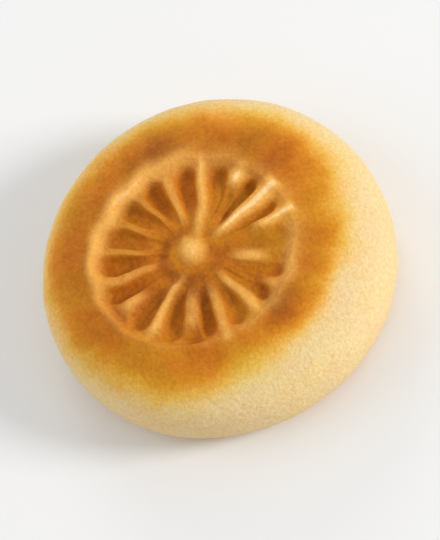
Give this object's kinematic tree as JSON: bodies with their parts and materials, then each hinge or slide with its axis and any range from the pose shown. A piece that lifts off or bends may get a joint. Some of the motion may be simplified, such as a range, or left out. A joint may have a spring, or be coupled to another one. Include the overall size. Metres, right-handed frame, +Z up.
{
  "type": "maamoul cookie",
  "caption": "Round filled shortcrust cookie with a flat underside, a bulging pale side and a petal rosette pressed into its browned face.",
  "frame": {"origin": "centre of the flat underside, level with what the cookie lies on", "axes": "+Z up through the stamped face; the middle of the rosette lies 1.5 mm from the Z axis, towards -X"},
  "size_m": [0.0442, 0.0438, 0.0126],
  "materials": {
    "crust": "baked shortcrust: golden-brown stamped face, pale cream side, soft satin sheen"
  },
  "bodies": {
    "root": {"cookie": "crust"}
  },
  "joints": []
}
